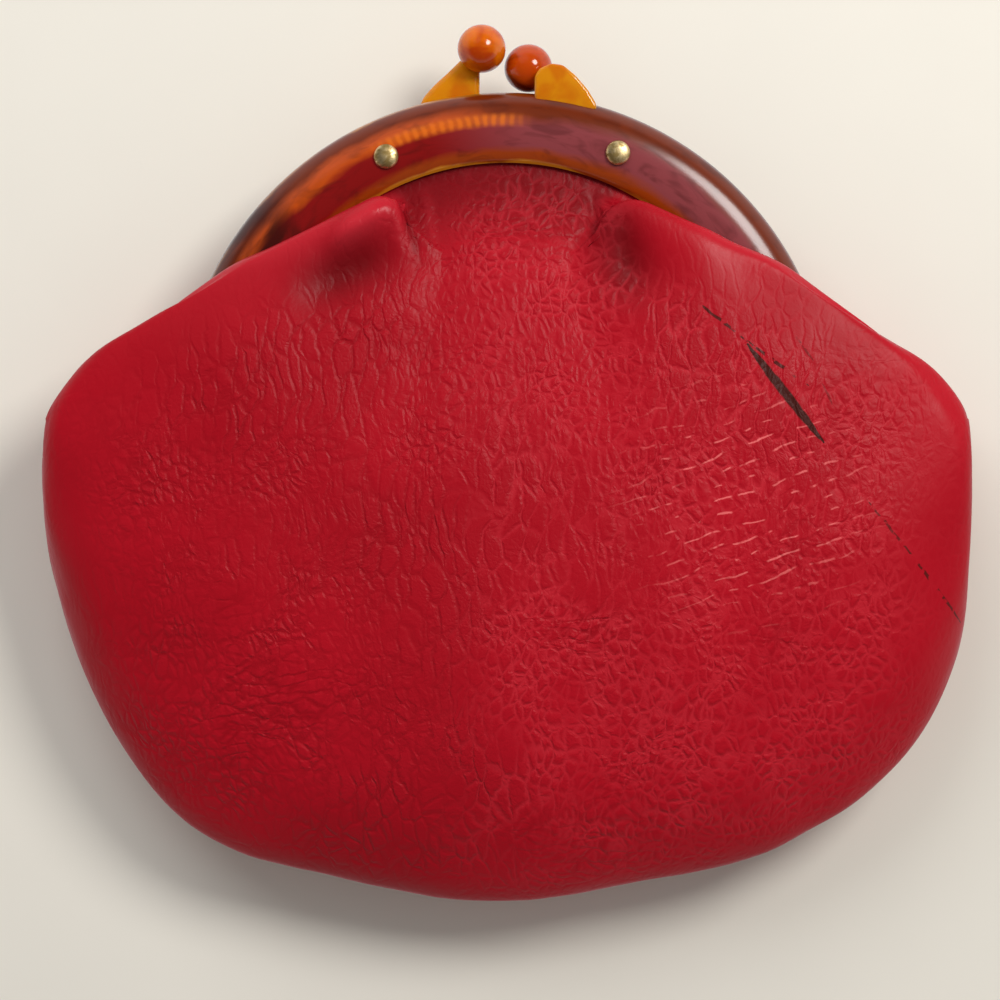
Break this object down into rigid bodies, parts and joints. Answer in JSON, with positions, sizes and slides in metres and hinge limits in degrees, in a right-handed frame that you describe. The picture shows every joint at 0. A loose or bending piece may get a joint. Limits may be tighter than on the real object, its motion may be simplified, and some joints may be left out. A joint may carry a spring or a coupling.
{
  "type": "kiss lock coin purse",
  "caption": "Soft leather coin purse on a hinged half-ring frame of moulded amber plastic with a ball clasp, opening at hinges at the frame's ends.",
  "frame": {"origin": "on the flat back panel, under the middle of the hinge axis; the purse lies on its back", "axes": "+X to the right hinge, +Y from the pouch's foot to the clasp, +Z out of the front panel"},
  "size_m": [0.1439, 0.1363, 0.0272],
  "materials": {
    "amber_frame": "polished translucent amber resin with darker swirls",
    "amber_arm": "polished translucent pale amber resin",
    "amber_ball": "polished translucent deep amber resin",
    "antique_brass": "antiqued, worn",
    "strip_steel": "plain",
    "red_leather": "pebbled grain with a soft sheen",
    "lining_cloth": "plain woven cotton"
  },
  "bodies": {
    "back_half": {"back_frame": "amber_frame", "back_clasp_arm": "amber_arm", "back_clasp_ball": "amber_ball", "back_rivet_left": "antique_brass", "back_rivet_right": "antique_brass", "hinge_pin_left": "antique_brass", "hinge_pin_right": "antique_brass", "back_strip": "strip_steel", "back_leather": "red_leather", "front_leather_fold": "red_leather", "front_leather_lower": "red_leather", "back_lining": "lining_cloth", "front_lining_fold": "lining_cloth", "front_lining_lower": "lining_cloth"},
    "front_half": {"front_frame": "amber_frame", "front_clasp_arm": "amber_arm", "front_clasp_ball": "amber_ball", "front_rivet_left": "antique_brass", "front_rivet_right": "antique_brass", "front_strip": "strip_steel", "front_leather_upper": "red_leather", "front_lining_upper": "lining_cloth"}
  },
  "joints": [
    {"name": "frame_hinge", "type": "hinge", "parent": "back_half", "child": "front_half", "pos_m": [0, 0, 0.0135], "axis": [1, 0, 0], "range_deg": [0, 80], "deforming": ["front_leather_fold", "front_lining_fold"]}
  ]
}
